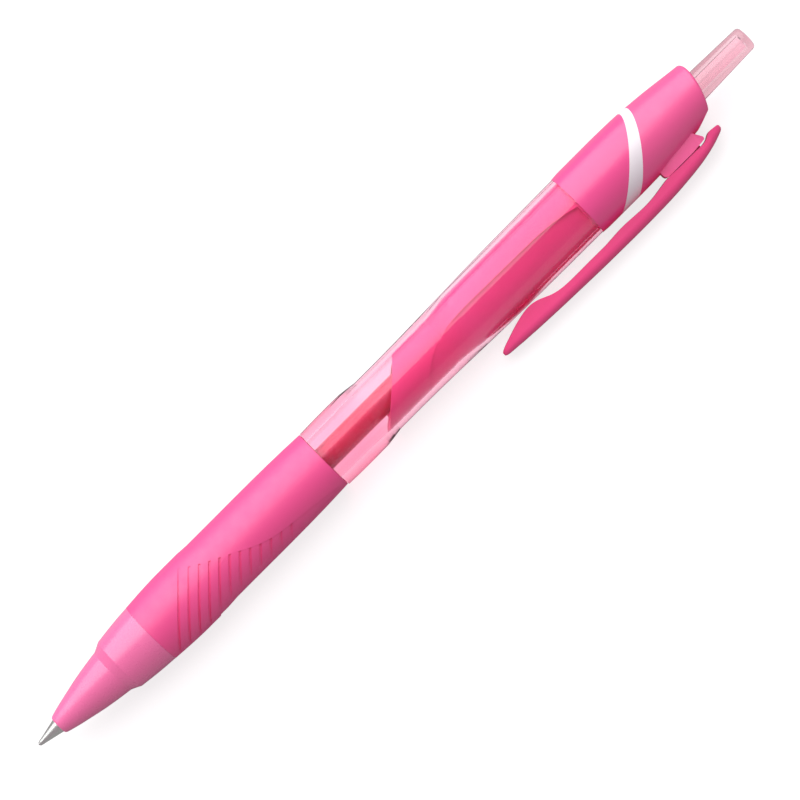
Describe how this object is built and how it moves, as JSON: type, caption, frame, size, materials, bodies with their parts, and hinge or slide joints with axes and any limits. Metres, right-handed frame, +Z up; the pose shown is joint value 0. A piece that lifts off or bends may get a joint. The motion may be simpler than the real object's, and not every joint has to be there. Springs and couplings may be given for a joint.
{
  "type": "retractable gel pen",
  "caption": "Click-action pen with ribbed rubber grip, clear tinted barrel, slanting white ring and pocket clip, lying on its side.",
  "frame": {"origin": "on the surface the pen lies on, under the centre of its bounding box", "axes": "+X from the writing tip to the button, +Z up, the pocket clip lies towards -Y and down"},
  "size_m": [0.14, 0.0136, 0.0105],
  "materials": {
    "cone_plastic": "glossy, slightly see-through pink",
    "grip_rubber": "matt pink rubber",
    "clear_plastic": "clear, tinted pink",
    "liner_plastic": "opaque pink",
    "collar_plastic": "glossy pink",
    "white_plastic": "satin white",
    "cap_plastic": "soft matt pink",
    "clip_plastic": "satin pink",
    "mechanism_plastic": "natural white",
    "rotor_plastic": "natural white",
    "plunger_plastic": "natural white",
    "button_plastic": "clear smoky pink",
    "refill_plastic": "clear tube",
    "ink": "wet ink",
    "follower_gel": "clear grease",
    "holder_plastic": "natural plastic",
    "point_steel": "turned steel",
    "ball_metal": "polished",
    "spring_wire": "drawn wire",
    "valve_metal": "polished",
    "spring_steel": "drawn wire"
  },
  "bodies": {
    "pen_body": {"barrel": "clear_plastic", "grip_sleeve": "grip_rubber", "liner_sleeve": "liner_plastic", "rear_collar": "collar_plastic", "accent_ring": "white_plastic", "rear_cap": "cap_plastic", "cam_guide": "mechanism_plastic"},
    "nose": {"nose_cone": "cone_plastic"},
    "button": {"push_button": "button_plastic", "cam_plunger": "plunger_plastic"},
    "refill": {"refill_tube": "refill_plastic", "ink_column": "ink", "ink_follower": "follower_gel", "tip_holder": "holder_plastic", "tip_cone": "point_steel", "ball_spring": "spring_wire", "rotor": "rotor_plastic", "return_spring": "spring_steel"},
    "point_ball": {"writing_ball": "ball_metal"},
    "valve_ball": {"check_ball": "valve_metal"},
    "pocket_clip": {"clip": "clip_plastic"}
  },
  "joints": [
    {"name": "button_press", "type": "slide", "parent": "pen_body", "child": "button", "axis": [-1, 0, 0], "range_m": [-0.0055, 0.0012], "stiffness_N_per_m": 250},
    {"name": "refill_slide", "type": "slide", "parent": "pen_body", "child": "refill", "axis": [-1, 0, 0], "range_m": [-0.0055, 0.0012], "deforming": ["return_spring"]},
    {"name": "clip_flex", "type": "hinge", "parent": "pen_body", "child": "pocket_clip", "pos_m": [0.0536, -0.00306, 0.003], "axis": [0, -0.4363, 0.8998], "range_deg": [0, 5], "stiffness_Nm_per_rad": 3},
    {"name": "nose_cone_off", "type": "slide", "parent": "pen_body", "child": "nose", "axis": [-1, 0, 0], "range_m": [0, 0.03]},
    {"name": "ball_roll", "type": "hinge", "parent": "refill", "child": "point_ball", "pos_m": [-0.06975, 0.00157, 0.00525], "axis": [0, 1, 0], "continuous": true},
    {"name": "check_ball_travel", "type": "slide", "parent": "refill", "child": "valve_ball", "axis": [1, 0, 0], "range_m": [-0.0003, 0.0023]}
  ],
  "couplings": [
    {"joint": "refill_slide", "follows": "button_press", "ratio": 1}
  ]
}
